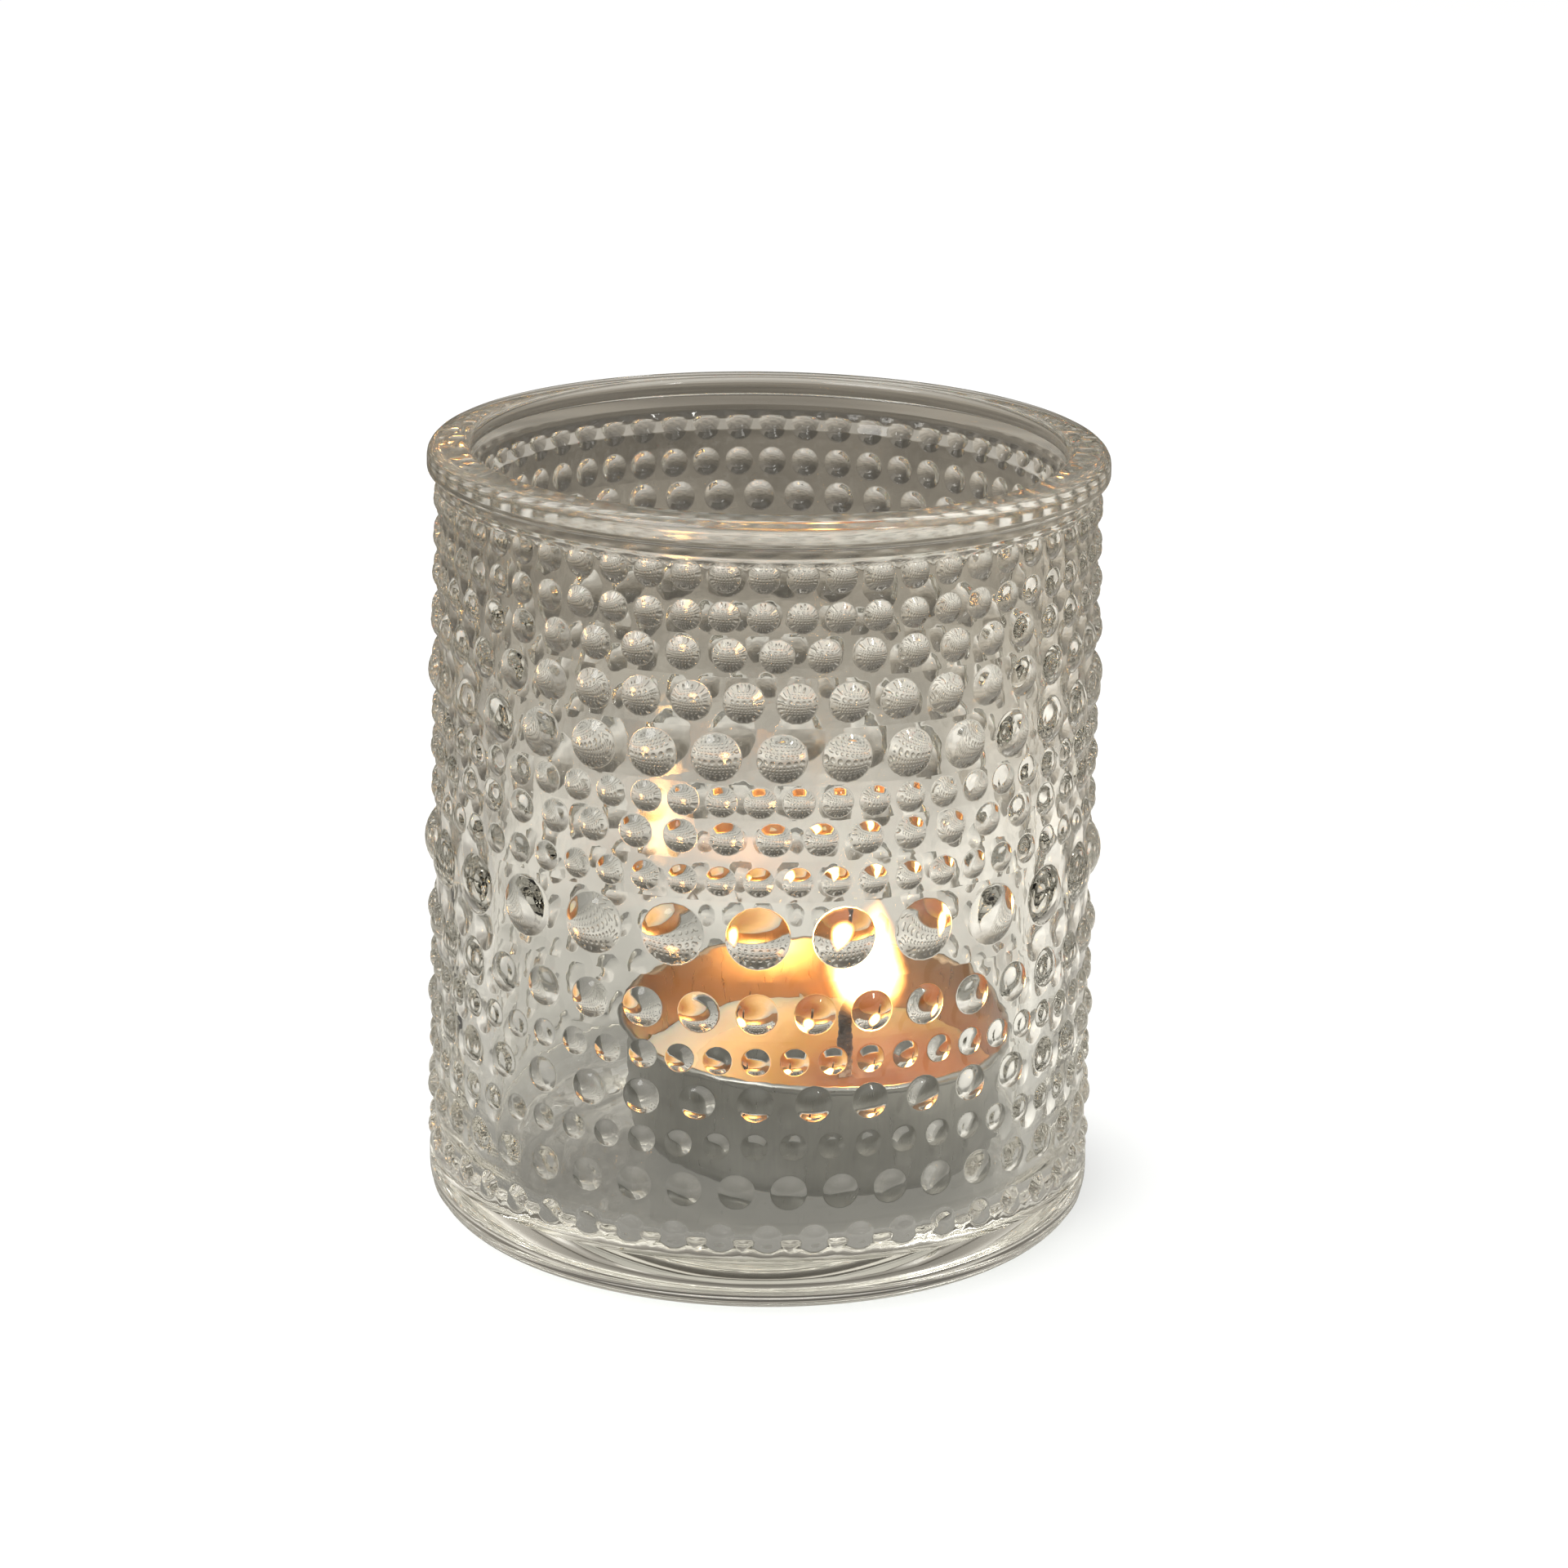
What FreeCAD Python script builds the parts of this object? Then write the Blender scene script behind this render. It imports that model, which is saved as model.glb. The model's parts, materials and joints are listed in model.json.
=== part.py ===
import FreeCAD
import Part
import math
import os

# Tealight holder: a pressed-glass tumbler covered in hobnails, with a tealight standing in it.
# Millimetres. The origin is the centre of the holder's underside, +Z is up and -Y is the front.

# ---- glass holder: outside ----
HEIGHT = 75.2
WALL_FOOT_RADIUS = 31.45        # plain glass between the hobnails, at the base band
WALL_NECK_RADIUS = 30.75        # the same below the neck band; the body is very slightly conical
CONTACT_INNER_RADIUS = 24.0     # the flat ring that the holder stands on
HEEL_ROUND = 4.2                # outside corner between the flat ring and the base band
HEEL_BAND_RADIUS = 31.9
HEEL_BAND_TOP = 6.0
BASE_BAND_RADIUS = 31.7
BASE_BAND_TOP = 7.8
NECK_BAND_RADIUS = 31.15
NECK_BAND_BOTTOM = 71.05
STEP_HEIGHT = 0.3               # height over which a band slopes to its neighbour
RIM_RADIUS = 31.95
RIM_BOTTOM = 72.7
RIM_LOWER_ROUND = 0.8
RIM_UPPER_ROUND = 1.7
PUNT_DEPTH = 0.9                # hollow in the underside, inside the flat ring

# ---- glass holder: inside ----
LIP_RADIUS = 27.9               # upper of the two straight steps inside the rim
LIP_ROUND = 1.1
LIP_BOTTOM = 73.7
MOUTH_RADIUS = 27.5             # lower step
MOUTH_TOP = 72.6
MOUTH_BOTTOM = 71.2
BORE_TOP_RADIUS = 27.0          # the bore narrows a little towards the floor, as pressed glass does
BORE_TOP = 70.2
BORE_BOTTOM_RADIUS = 26.8
FLOOR_HEIGHT = 5.0
FLOOR_ROUND = 3.0
ABOVE_MOUTH = 5.0               # how far the cavity's cutter runs out of the mouth

# ---- hobnails: one entry a row, as centre height, number around the wall and base radius ----
HOBNAIL_ROWS = [
    (70.0, 56, 1.45),
    (66.4, 56, 1.45),
    (62.9, 46, 1.60),
    (58.6, 41, 1.90),
    (53.5, 33, 2.30),
    (49.4, 56, 1.48),
    (46.0, 46, 1.60),
    (42.0, 56, 1.42),
    (36.7, 25, 2.95),
    (29.5, 37, 1.95),
    (25.0, 56, 1.38),
    (20.9, 37, 1.75),
    (16.8, 56, 1.32),
    (12.4, 41, 1.70),
    (7.9, 46, 1.45),
]
DOME_RATIO = 0.42               # a hobnail's height over its base radius, for the small ones
DOME_HEIGHT_LIMIT = 1.15
FRONT_TURN = -0.4               # degrees from the front to the line that most rows share
ROW_TURN = {46: 0.30, 41: -0.34, 33: 0.32}    # turn of the other rows, in hobnail pitches

# ---- tealight ----
CANDLE_X = 5.85                 # it stands off the holder's axis
CANDLE_Y = 2.4
CUP_HEIGHT = 12.5
CUP_WALL = 0.25
CUP_BASE_RADIUS = 18.6
CUP_TOP_RADIUS = 19.2
CUP_CORNER_ROUND = 3.2
CUP_BEAD_RADIUS = 0.42          # rolled edge
CUP_BEAD_OFFSET = 0.28          # from the wall's outside to the middle of the rolled edge
WAX_DEPTH = 5.9                 # the candle has burnt for a while
WAX_GAP = 0.05                  # clearance to the cup, sustainer and wick
POOL_RADIUS = 14.5              # shallow melted hollow in the wax
POOL_DEPTH = 0.9
SUSTAINER_RADIUS = 6.25
SUSTAINER_THICKNESS = 0.3
NECK_RADIUS = 1.6
NECK_HEIGHT = 3.2
WICK_RADIUS = 0.75
WICK_GAP = 0.03                 # clearance in the sustainer's neck
WICK_OFFSET = 2.7               # the wick and its sustainer have slid off the cup's axis, to the right
WICK_STRAIGHT = 10.6
WICK_BEND_RADIUS = 4.5
WICK_BEND_DEG = 45.0
WICK_HEADING_DEG = 10.0         # the tip leans to the right and slightly back

DISH_MIDDLE = 0.75              # share of a shallow dish's depth that is left halfway out
SAME_POINT = 1e-6               # ends closer than this count as one point


def point(radius, height):
    """Point of a profile in the XZ plane."""
    return FreeCAD.Vector(radius, 0, height)


def line(start, end):
    return Part.LineSegment(start, end).toShape()


def arc_through(start, middle, end):
    return Part.Arc(start, middle, end).toShape()


def round_corner(centre, radius, start_deg, end_deg):
    """Arc of a profile; angles are measured from outwards (+X) towards +Z."""
    middle_deg = (start_deg + end_deg) / 2
    places = []
    for angle_deg in (start_deg, middle_deg, end_deg):
        angle = math.radians(angle_deg)
        places.append(point(centre.x + radius * math.cos(angle), centre.z + radius * math.sin(angle)))
    return arc_through(*places)


def dish(middle_height, rim_radius, rim_height):
    """Three points of a shallow dish's profile, from its middle outwards."""
    halfway_height = rim_height + DISH_MIDDLE * (middle_height - rim_height)
    return [
        point(0, middle_height),
        point(rim_radius / 2, halfway_height),
        point(rim_radius, rim_height),
    ]


def revolve(pieces):
    """Join lines, arcs and corner points into one closed profile, and turn it around Z."""
    edges = []
    last = None
    for piece in pieces:
        if isinstance(piece, FreeCAD.Vector):
            if last is not None and last.distanceToPoint(piece) > SAME_POINT:
                edges.append(line(last, piece))
            last = piece
            continue
        start = piece.valueAt(piece.FirstParameter)
        if last is not None and last.distanceToPoint(start) > SAME_POINT:
            edges.append(line(last, start))
        edges.append(piece)
        last = piece.valueAt(piece.LastParameter)
    first = edges[0].valueAt(edges[0].FirstParameter)
    if last.distanceToPoint(first) > SAME_POINT:
        edges.append(line(last, first))
    profile = Part.Face(Part.Wire(edges))
    return profile.revolve(FreeCAD.Vector(0, 0, 0), FreeCAD.Vector(0, 0, 1), 360)


# ---- glass holder ----

def outer_body():
    """The tumbler's outside without hobnails, still solid inside."""
    heel_centre = point(HEEL_BAND_RADIUS - HEEL_ROUND, HEEL_ROUND)
    lower_rim_centre = point(RIM_RADIUS - RIM_LOWER_ROUND, RIM_BOTTOM + RIM_LOWER_ROUND)
    upper_rim_centre = point(RIM_RADIUS - RIM_UPPER_ROUND, HEIGHT - RIM_UPPER_ROUND)
    return revolve([
        arc_through(*dish(PUNT_DEPTH, CONTACT_INNER_RADIUS, 0)),
        round_corner(heel_centre, HEEL_ROUND, -90, 0),
        point(HEEL_BAND_RADIUS, HEEL_BAND_TOP - STEP_HEIGHT),
        point(BASE_BAND_RADIUS, HEEL_BAND_TOP),
        point(BASE_BAND_RADIUS, BASE_BAND_TOP - STEP_HEIGHT),
        point(WALL_FOOT_RADIUS, BASE_BAND_TOP),
        point(WALL_NECK_RADIUS, NECK_BAND_BOTTOM),
        point(NECK_BAND_RADIUS, NECK_BAND_BOTTOM + STEP_HEIGHT),
        point(NECK_BAND_RADIUS, RIM_BOTTOM),
        round_corner(lower_rim_centre, RIM_LOWER_ROUND, -90, 0),
        round_corner(upper_rim_centre, RIM_UPPER_ROUND, 0, 90),
        point(0, HEIGHT),
    ])


def cavity():
    """The space inside the tumbler, running out of the mouth."""
    floor_centre = point(BORE_BOTTOM_RADIUS - FLOOR_ROUND, FLOOR_HEIGHT + FLOOR_ROUND)
    lip_centre = point(LIP_RADIUS + LIP_ROUND, HEIGHT - LIP_ROUND)
    return revolve([
        point(0, FLOOR_HEIGHT),
        round_corner(floor_centre, FLOOR_ROUND, -90, 0),
        point(BORE_TOP_RADIUS, BORE_TOP),
        point(MOUTH_RADIUS, MOUTH_BOTTOM),
        point(MOUTH_RADIUS, MOUTH_TOP),
        point(LIP_RADIUS, LIP_BOTTOM),
        round_corner(lip_centre, LIP_ROUND, 180, 90),
        point(LIP_RADIUS + LIP_ROUND, HEIGHT + ABOVE_MOUTH),
        point(0, HEIGHT + ABOVE_MOUTH),
    ])


def wall_radius(height):
    """Outside radius of the plain wall at a height."""
    share = (height - BASE_BAND_TOP) / (NECK_BAND_BOTTOM - BASE_BAND_TOP)
    return WALL_FOOT_RADIUS + share * (WALL_NECK_RADIUS - WALL_FOOT_RADIUS)


def hobnail(angle_deg, height, base_radius):
    """Sphere whose cap stands proud of the wall, with base_radius where it meets the wall."""
    dome_height = min(DOME_RATIO * base_radius, DOME_HEIGHT_LIMIT)
    sphere_radius = (base_radius ** 2 + dome_height ** 2) / (2 * dome_height)
    distance = wall_radius(height) + dome_height - sphere_radius
    angle = math.radians(angle_deg)
    centre = FreeCAD.Vector(distance * math.sin(angle), -distance * math.cos(angle), height)
    return Part.makeSphere(sphere_radius, centre)


def all_hobnails():
    domes = []
    for height, count, base_radius in HOBNAIL_ROWS:
        pitch = 360.0 / count
        turn = ROW_TURN.get(count, 0.0)
        for place in range(count):
            domes.append(hobnail(FRONT_TURN + (place + turn) * pitch, height, base_radius))
    return domes


def glass_holder():
    return outer_body().multiFuse(all_hobnails()).cut(cavity())


# ---- tealight, modelled around the cup's axis with its underside at height 0 ----

def tealight_cup():
    """Thin aluminium cup with a rounded bottom corner and a rolled edge."""
    outer_corner = point(CUP_BASE_RADIUS - CUP_CORNER_ROUND, CUP_CORNER_ROUND)
    bead_height = CUP_HEIGHT - CUP_BEAD_RADIUS
    shell = revolve([
        point(0, 0),
        round_corner(outer_corner, CUP_CORNER_ROUND, -90, 0),
        point(CUP_TOP_RADIUS, bead_height),
        point(CUP_TOP_RADIUS - CUP_WALL, bead_height),
        round_corner(outer_corner, CUP_CORNER_ROUND - CUP_WALL, 0, -90),
        point(0, CUP_WALL),
    ])
    bead = Part.makeTorus(CUP_TOP_RADIUS + CUP_BEAD_OFFSET, CUP_BEAD_RADIUS)
    bead.translate(FreeCAD.Vector(0, 0, bead_height))
    return shell.fuse(bead)


def sustainer():
    """Steel disc with a short tube that grips the wick."""
    hole = WICK_RADIUS + WICK_GAP
    bottom = CUP_WALL
    shoulder = bottom + SUSTAINER_THICKNESS
    return revolve([
        point(hole, bottom),
        point(SUSTAINER_RADIUS, bottom),
        point(SUSTAINER_RADIUS, shoulder),
        point(NECK_RADIUS, shoulder),
        point(NECK_RADIUS, bottom + NECK_HEIGHT),
        point(hole, bottom + NECK_HEIGHT),
    ])


def wick():
    """Cord that rises straight out of the wax and curls over at its tip."""
    bottom = CUP_WALL
    top = bottom + WICK_STRAIGHT
    heading = math.radians(WICK_HEADING_DEG)
    sideways = FreeCAD.Vector(math.cos(heading), math.sin(heading), 0)
    up = FreeCAD.Vector(0, 0, 1)
    straight_end = up * top

    def bend_point(angle_deg):
        angle = math.radians(angle_deg)
        across = WICK_BEND_RADIUS * (1 - math.cos(angle))
        return straight_end + sideways * across + up * (WICK_BEND_RADIUS * math.sin(angle))

    path = Part.Wire([
        line(up * bottom, straight_end),
        arc_through(straight_end, bend_point(WICK_BEND_DEG / 2), bend_point(WICK_BEND_DEG)),
    ])
    section = Part.Wire([Part.makeCircle(WICK_RADIUS, up * bottom, up)])
    return path.makePipeShell([section], True, True)


def wax():
    """The fuel: it fills the cup to WAX_DEPTH, with a shallow melted hollow in its top."""
    top = CUP_WALL + WAX_DEPTH
    corner = point(CUP_BASE_RADIUS - CUP_CORNER_ROUND, CUP_CORNER_ROUND)
    taper = (CUP_TOP_RADIUS - CUP_BASE_RADIUS) / (CUP_HEIGHT - CUP_BEAD_RADIUS - CUP_CORNER_ROUND)
    inside_radius = CUP_BASE_RADIUS + taper * (top - CUP_CORNER_ROUND) - CUP_WALL - WAX_GAP
    block = revolve([
        point(0, CUP_WALL + WAX_GAP),
        round_corner(corner, CUP_CORNER_ROUND - CUP_WALL - WAX_GAP, -90, 0),
        point(inside_radius, top),
        point(0, top),
    ])
    pool_sphere_radius = (POOL_RADIUS ** 2 + POOL_DEPTH ** 2) / (2 * POOL_DEPTH)
    pool_centre = point(0, top - POOL_DEPTH + pool_sphere_radius)
    poles_sideways = FreeCAD.Vector(1, 0, 0)
    pool = Part.makeSphere(pool_sphere_radius, pool_centre, poles_sideways)
    hole = Part.makeCylinder(WICK_RADIUS + WAX_GAP, top)
    neck_room = Part.makeCylinder(NECK_RADIUS + WAX_GAP, CUP_WALL + NECK_HEIGHT + WAX_GAP)
    disc_room = Part.makeCylinder(
        SUSTAINER_RADIUS + WAX_GAP, CUP_WALL + SUSTAINER_THICKNESS + WAX_GAP
    )
    room = hole.fuse(neck_room).fuse(disc_room)
    room.translate(FreeCAD.Vector(WICK_OFFSET, 0, 0))
    return block.cut(pool).cut(room)


def stand_in_holder(shape, off_centre=0.0):
    """Set a tealight piece down on the holder's floor, off the cup's axis where asked."""
    shape.translate(FreeCAD.Vector(CANDLE_X + off_centre, CANDLE_Y, FLOOR_HEIGHT))
    return shape


def main():
    nodes = {
        "glass_holder": glass_holder(),
        "tealight_cup": stand_in_holder(tealight_cup()),
        "wick_sustainer": stand_in_holder(sustainer(), WICK_OFFSET),
        "wick": stand_in_holder(wick(), WICK_OFFSET),
        "wax": stand_in_holder(wax()),
    }
    os.makedirs("parts", exist_ok=True)
    for name, shape in nodes.items():
        shape.exportStep(os.path.join("parts", name + ".step"))


main()
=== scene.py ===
import json
import math

import bpy
from mathutils import Matrix, Vector

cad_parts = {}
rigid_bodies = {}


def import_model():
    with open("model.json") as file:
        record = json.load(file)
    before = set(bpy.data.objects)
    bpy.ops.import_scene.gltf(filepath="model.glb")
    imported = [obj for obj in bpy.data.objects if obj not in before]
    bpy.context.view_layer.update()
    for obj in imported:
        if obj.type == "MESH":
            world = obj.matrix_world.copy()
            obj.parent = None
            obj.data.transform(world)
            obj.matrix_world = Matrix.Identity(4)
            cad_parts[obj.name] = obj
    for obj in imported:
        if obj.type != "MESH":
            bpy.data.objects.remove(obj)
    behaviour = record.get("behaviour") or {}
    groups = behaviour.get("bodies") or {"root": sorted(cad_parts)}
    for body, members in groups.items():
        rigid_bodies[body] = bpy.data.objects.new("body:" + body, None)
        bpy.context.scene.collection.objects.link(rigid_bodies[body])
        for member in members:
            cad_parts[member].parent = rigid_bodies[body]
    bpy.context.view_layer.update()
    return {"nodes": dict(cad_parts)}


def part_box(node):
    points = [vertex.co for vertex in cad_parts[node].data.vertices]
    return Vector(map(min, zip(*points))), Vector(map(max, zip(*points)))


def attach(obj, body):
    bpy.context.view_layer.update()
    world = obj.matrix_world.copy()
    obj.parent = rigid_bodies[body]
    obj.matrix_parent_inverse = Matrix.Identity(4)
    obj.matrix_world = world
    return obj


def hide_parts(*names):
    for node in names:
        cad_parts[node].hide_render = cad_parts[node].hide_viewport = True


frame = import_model()

# Looks of a pressed-glass tealight holder with a lit tealight in it. Metres, in the CAD's own frame.

MM = 0.001

# ---- sizes read from the frame ----
HOLDER_LOW, HOLDER_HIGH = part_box("glass_holder")
CUP_LOW, CUP_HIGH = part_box("tealight_cup")
WAX_LOW, WAX_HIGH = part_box("wax")
WICK_LOW, WICK_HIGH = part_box("wick")
HOLDER_HEIGHT = HOLDER_HIGH.z
HOBNAIL_SHORTFALL = 0.053 * MM   # no hobnail's top lies exactly on the X axis
BODY_RADIUS = (HOLDER_HIGH.x - HOLDER_LOW.x) / 2 + HOBNAIL_SHORTFALL
CANDLE = Vector(((CUP_LOW.x + CUP_HIGH.x) / 2, (CUP_LOW.y + CUP_HIGH.y) / 2, CUP_LOW.z))
CUP_HEIGHT = CUP_HIGH.z - CUP_LOW.z
CUP_RIM_RADIUS = (CUP_HIGH.x - CUP_LOW.x) / 2
FLOOR_HEIGHT = CUP_LOW.z

# ---- glass holder, outside ----
RIM_RADIUS = BODY_RADIUS - 0.33 * MM
RIM_BOTTOM = HOLDER_HEIGHT - 2.5 * MM
RIM_LOWER_ROUND = 0.8 * MM
RIM_UPPER_ROUND = 1.7 * MM
NECK_BAND_RADIUS = BODY_RADIUS - 1.13 * MM
NECK_BAND_BOTTOM = HOLDER_HEIGHT - 4.15 * MM
WALL_NECK_RADIUS = BODY_RADIUS - 1.53 * MM       # plain wall below the neck band
WALL_FOOT_RADIUS = BODY_RADIUS - 0.83 * MM       # and at the base band
BASE_BAND_RADIUS = BODY_RADIUS - 0.58 * MM
BASE_BAND_TOP = 7.8 * MM
HEEL_BAND_RADIUS = BODY_RADIUS - 0.38 * MM
HEEL_BAND_TOP = 6.0 * MM
HEEL_ROUND = 4.2 * MM
BAND_STEP = 0.3 * MM             # height over which a band slopes to its neighbour
HEEL_STEPS = 14
HEEL_EDGE_HEIGHT = 0.1 * MM      # eased corner at the top of the heel band
HEEL_EDGE_DEPTH = 0.03 * MM
HEEL_TOE_HEIGHT = 0.05 * MM      # and at the foot of the slope above it
HEEL_TOE_WIDTH = 0.02 * MM
SEAM_HEIGHT = 2.5 * MM           # fine raised line round the heel
SEAM_PROUD = 0.07 * MM
SEAM_HALF_WIDTH = 0.14 * MM
SEAM_ROOM = 1.5                  # no other ring of mesh is nearer to the line than this many half widths
CONTACT_RADIUS = 24.0 * MM
PUNT_DEPTH = 0.9 * MM
PUNT_PROFILE = [(0.0, 1.0), (0.3, 0.91), (0.6, 0.64), (0.85, 0.28), (1.0, 0.0)]   # shares of both
LATHE_SEGMENTS = 160
GLASS_SHARP = 75                 # degrees; only a corner sharper than this shows as an edge

# ---- glass holder, inside ----
LIP_RADIUS = BODY_RADIUS - 4.38 * MM
LIP_ROUND = 1.1 * MM
LIP_BOTTOM = HOLDER_HEIGHT - 1.5 * MM
MOUTH_RADIUS = BODY_RADIUS - 4.78 * MM
MOUTH_TOP = HOLDER_HEIGHT - 2.6 * MM
MOUTH_BOTTOM = HOLDER_HEIGHT - 4.0 * MM
BORE_TOP_RADIUS = BODY_RADIUS - 5.28 * MM
BORE_TOP = HOLDER_HEIGHT - 5.0 * MM
BORE_BOTTOM_RADIUS = BODY_RADIUS - 5.48 * MM
FLOOR_ROUND = 3.0 * MM
SMALL_EASE = 0.2 * MM            # rounding of the small corners
MOUTH_EASE = 0.3 * MM
BORE_EASE = 0.4 * MM
RIM_ARC_STEPS = 5

# ---- hobnails: one entry a row, as centre height, number around the wall and base radius ----
HOBNAIL_ROWS = [
    (7.9 * MM, 46, 1.45 * MM),
    (12.4 * MM, 41, 1.70 * MM),
    (16.8 * MM, 56, 1.32 * MM),
    (20.9 * MM, 37, 1.75 * MM),
    (25.0 * MM, 56, 1.38 * MM),
    (29.5 * MM, 37, 1.95 * MM),
    (36.7 * MM, 25, 2.95 * MM),
    (42.0 * MM, 56, 1.42 * MM),
    (46.0 * MM, 46, 1.60 * MM),
    (49.4 * MM, 56, 1.48 * MM),
    (53.5 * MM, 33, 2.30 * MM),
    (58.6 * MM, 41, 1.90 * MM),
    (62.9 * MM, 46, 1.60 * MM),
    (66.4 * MM, 56, 1.45 * MM),
    (70.0 * MM, 56, 1.45 * MM),
]
DOME_RATIO = 0.42                # a hobnail's height over its base radius
DOME_HEIGHT_LIMIT = 1.15 * MM
DOME_FILLET = 0.15 * MM          # soft corner where a hobnail meets the wall
GUARD = 0.05 * MM                # flat strip just outside the fillet
RING_ROOM = 0.03                 # least share of a cell left between two rings of mesh
CROWDED = 40                     # rows with more hobnails than this get a lighter mesh
CROWDED_MESH = (5, 3)            # mesh steps along a cell's side, and rings on a dome
OPEN_MESH = (6, 4)
LOWEST_ROW_BELOW = (0.4, 0.7, 1.0)    # its mesh levels, as shares of the way up to the step
LOWEST_ROW_ABOVE = (0.0, 0.33, 0.66)  # and from there to the top of its band
FRONT_TURN = math.radians(-0.4)
ROW_TURN = {46: 0.30, 41: -0.34, 33: 0.32}   # turn of the rows with this many hobnails, in pitches
BAND_GAP = 0.04 * MM             # half the strip that joins two rows of cells


# ---------------------------------------------------------------- mesh building

class Ring:
    """Points around the Z axis, evenly spaced from a starting angle."""

    def __init__(self, ids, start):
        self.ids = ids
        self.start = start
        self.count = len(ids)
        self.step = 2 * math.pi / self.count

    def at(self, place):
        return self.ids[place % self.count]


class Skin:
    """Collects the points and faces of one closed surface."""

    def __init__(self):
        self.points = []
        self.faces = []

    def add(self, angle, radius, height):
        """Adds a point; angles run from the front (-Y) towards +X."""
        self.points.append((radius * math.sin(angle), -radius * math.cos(angle), height))
        return len(self.points) - 1

    def ring(self, count, radius, height, start=0.0):
        step = 2 * math.pi / count
        ids = [self.add(start + place * step, radius, height) for place in range(count)]
        return Ring(ids, start)

    def join(self, low, high):
        """Faces between two rings, which may differ in their number of points."""
        offset = round((low.start - high.start) / high.step)
        if low.count == high.count:
            for place in range(low.count):
                self.faces.append((
                    low.at(place), low.at(place + 1),
                    high.at(place + 1 + offset), high.at(place + offset),
                ))
            return
        low_place = 0
        high_place = 0
        while low_place < low.count or high_place < high.count:
            next_low = low.start + (low_place + 1) * low.step
            next_high = high.start + (high_place + 1 + offset) * high.step
            low_turn = high_place >= high.count or next_low < next_high
            if low_turn and low_place < low.count:
                self.faces.append((
                    low.at(low_place), low.at(low_place + 1), high.at(high_place + offset)
                ))
                low_place += 1
            else:
                self.faces.append((
                    low.at(low_place), high.at(high_place + 1 + offset), high.at(high_place + offset)
                ))
                high_place += 1

    def lathe(self, profile, count, start=0.0, first=None, last=None):
        """Turns a list of (radius, height) around Z, and returns its last ring or point.

        A first or last radius of 0 closes to a point. first and last are rings to join on to.
        """
        previous = first
        for radius, height in profile:
            if radius == 0:
                pole = self.add(0, 0, height)
                if previous is not None:
                    for place in range(previous.count):
                        self.faces.append((previous.at(place), previous.at(place + 1), pole))
                previous = pole
                continue
            ring = self.ring(count, radius, height, start)
            if isinstance(previous, int):
                for place in range(ring.count):
                    self.faces.append((previous, ring.at(place + 1), ring.at(place)))
            elif previous is not None:
                self.join(previous, ring)
            previous = ring
        if last is not None:
            self.join(previous, last)
        return previous

    def build(self, name, centre=(0, 0, 0), sharp_degrees=60):
        mesh = bpy.data.meshes.new(name)
        moved = [(x + centre[0], y + centre[1], z + centre[2]) for x, y, z in self.points]
        mesh.from_pydata(moved, [], self.faces)
        mesh.validate()
        mesh.shade_smooth()
        mesh.set_sharp_from_angle(angle=math.radians(sharp_degrees))
        piece = bpy.data.objects.new(name, mesh)
        bpy.context.scene.collection.objects.link(piece)
        return piece


def rounded(corners, steps=6):
    """Profile points from corners of (radius, height, round), each corner eased by an arc."""
    points = []
    for place, (radius, height, ease) in enumerate(corners):
        here = Vector((radius, height))
        if ease == 0 or place in (0, len(corners) - 1):
            points.append((radius, height))
            continue
        before = Vector(corners[place - 1][:2]) - here
        after = Vector(corners[place + 1][:2]) - here
        half = before.angle(after) / 2
        reach = min(ease / math.tan(half), before.length / 2, after.length / 2)
        round_radius = reach * math.tan(half)
        bisector = (before.normalized() + after.normalized()).normalized()
        centre = here + bisector * (round_radius / math.sin(half))
        start = here + before.normalized() * reach - centre
        end = here + after.normalized() * reach - centre
        turn = math.atan2(start.x * end.y - start.y * end.x, start.dot(end))
        for step in range(steps + 1):
            angle = turn * step / steps
            across = start.x * math.cos(angle) - start.y * math.sin(angle)
            along = start.x * math.sin(angle) + start.y * math.cos(angle)
            points.append((centre.x + across, centre.y + along))
    return points


# ---------------------------------------------------------------- glass holder

def plain_radius(height):
    """Outside radius of the slightly conical wall, without its bands."""
    share = (height - BASE_BAND_TOP) / (NECK_BAND_BOTTOM - BASE_BAND_TOP)
    share = max(0.0, min(1.0, share))
    return WALL_FOOT_RADIUS + share * (WALL_NECK_RADIUS - WALL_FOOT_RADIUS)


def wall_radius(height):
    """The same, with the raised base band and neck band."""
    plain = plain_radius(height)
    base = max(0.0, min(1.0, (BASE_BAND_TOP - height) / BAND_STEP))
    neck = max(0.0, min(1.0, (height - NECK_BAND_BOTTOM) / BAND_STEP))
    return plain + base * (BASE_BAND_RADIUS - plain) + neck * (NECK_BAND_RADIUS - plain)


class Dome:
    """Section of one hobnail: a spherical cap with a small fillet at its foot."""

    def __init__(self, reach):
        self.reach = reach
        self.rise = min(DOME_RATIO * reach, DOME_HEIGHT_LIMIT)
        self.sphere = (reach ** 2 + self.rise ** 2) / (2 * self.rise) - DOME_FILLET
        self.centre = self.rise - self.sphere
        self.foot = reach * self.sphere / (self.sphere + DOME_FILLET)

    def height(self, distance):
        if distance >= self.reach:
            return 0.0
        if distance > self.foot:
            return DOME_FILLET - math.sqrt(DOME_FILLET ** 2 - (self.reach - distance) ** 2)
        return self.centre + math.sqrt(self.sphere ** 2 - distance ** 2)

    def ring_distances(self, caps):
        """Distances from the dome's middle of its mesh rings, from the outside in."""
        tilt = math.asin(self.foot / self.sphere)
        distances = [self.reach + GUARD, self.reach, self.foot]
        for ring in range(1, caps):
            distances.append(self.sphere * math.sin(tilt * (1 - ring / caps)))
        return distances


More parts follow.
